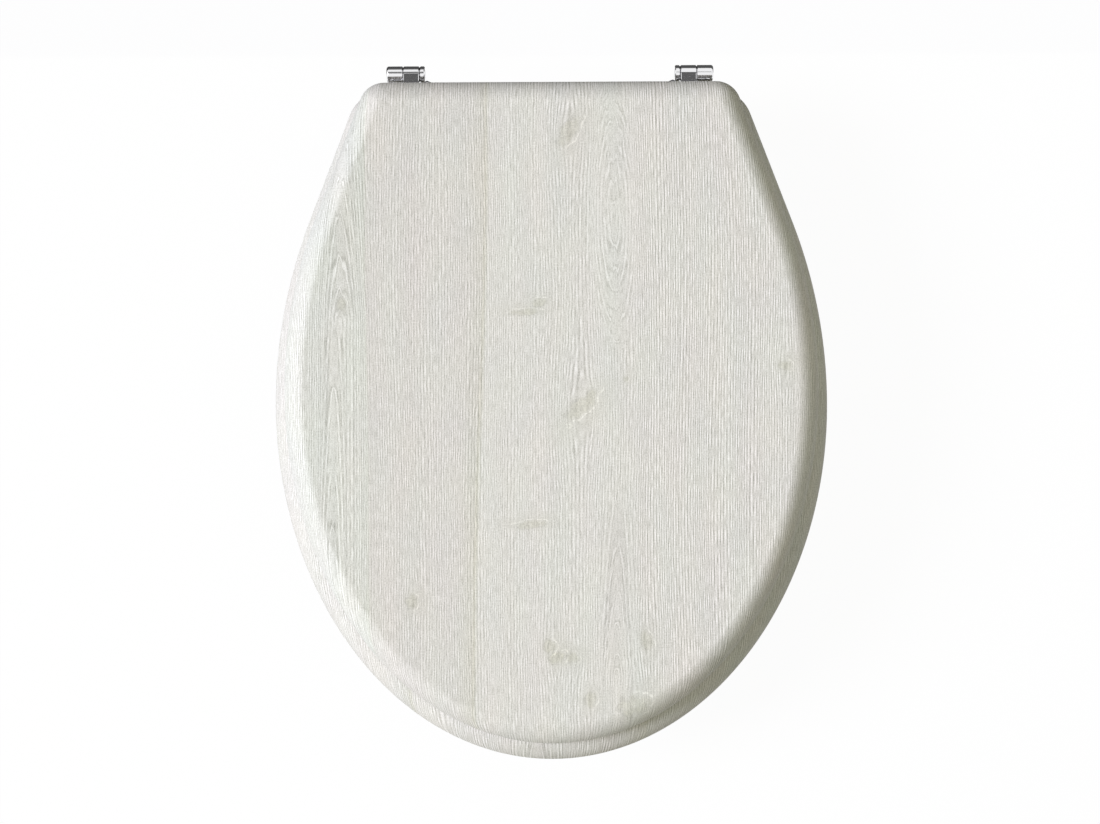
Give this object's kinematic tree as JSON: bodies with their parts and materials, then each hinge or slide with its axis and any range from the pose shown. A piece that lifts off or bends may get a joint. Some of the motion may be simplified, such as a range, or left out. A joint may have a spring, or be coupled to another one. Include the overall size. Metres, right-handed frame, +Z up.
{
  "type": "toilet seat",
  "caption": "Oval wood-board toilet seat: a lid and a ring seat hinged on chromed posts that bolt to the bowl.",
  "frame": {"origin": "midway between the two fixing bolts, on the bowl's top face", "axes": "+X to the right, +Y to the back, +Z up; the front of the seat points to -Y"},
  "size_m": [0.37, 0.4626, 0.108],
  "materials": {
    "lid_decor": "white-washed wood foil",
    "seat_decor": "white-washed wood foil",
    "chrome": "chromed die casting",
    "steel": "zinc plated",
    "nylon": "moulded",
    "buffer_plastic": "soft moulded",
    "black_rubber": "matt",
    "white_plastic": "moulded"
  },
  "bodies": {
    "fixings": {"hinge_post_left": "chrome", "hinge_post_right": "chrome", "hinge_pin_left": "steel", "hinge_pin_right": "steel", "fixing_bolt_left": "steel", "fixing_bolt_right": "steel", "foot_gasket_left": "black_rubber", "foot_gasket_right": "black_rubber", "rubber_washer_left": "black_rubber", "rubber_washer_right": "black_rubber", "clamp_washer_left": "white_plastic", "clamp_washer_right": "white_plastic", "wing_nut_left": "white_plastic", "wing_nut_right": "white_plastic"},
    "seat": {"seat_ring": "seat_decor", "seat_bracket_screws": "steel", "seat_bracket_left": "chrome", "seat_bracket_right": "chrome", "seat_bush_left": "nylon", "seat_bush_right": "nylon", "seat_buffer_front_left": "buffer_plastic", "seat_buffer_front_right": "buffer_plastic", "seat_buffer_rear_left": "buffer_plastic", "seat_buffer_rear_right": "buffer_plastic"},
    "lid": {"lid_panel": "lid_decor", "lid_bracket_screws": "steel", "lid_bracket_left": "chrome", "lid_bracket_right": "chrome", "lid_bush_left": "nylon", "lid_bush_right": "nylon", "lid_buffer_front_left": "buffer_plastic", "lid_buffer_front_right": "buffer_plastic", "lid_buffer_rear_left": "buffer_plastic", "lid_buffer_rear_right": "buffer_plastic"}
  },
  "joints": [
    {"name": "seat_hinge", "type": "hinge", "parent": "fixings", "child": "seat", "pos_m": [0, 0.013, 0.0266], "axis": [-1, 0, 0], "range_deg": [0, 95]},
    {"name": "lid_hinge", "type": "hinge", "parent": "seat", "child": "lid", "pos_m": [0, 0.013, 0.0266], "axis": [-1, 0, 0], "range_deg": [0, 95]}
  ]
}
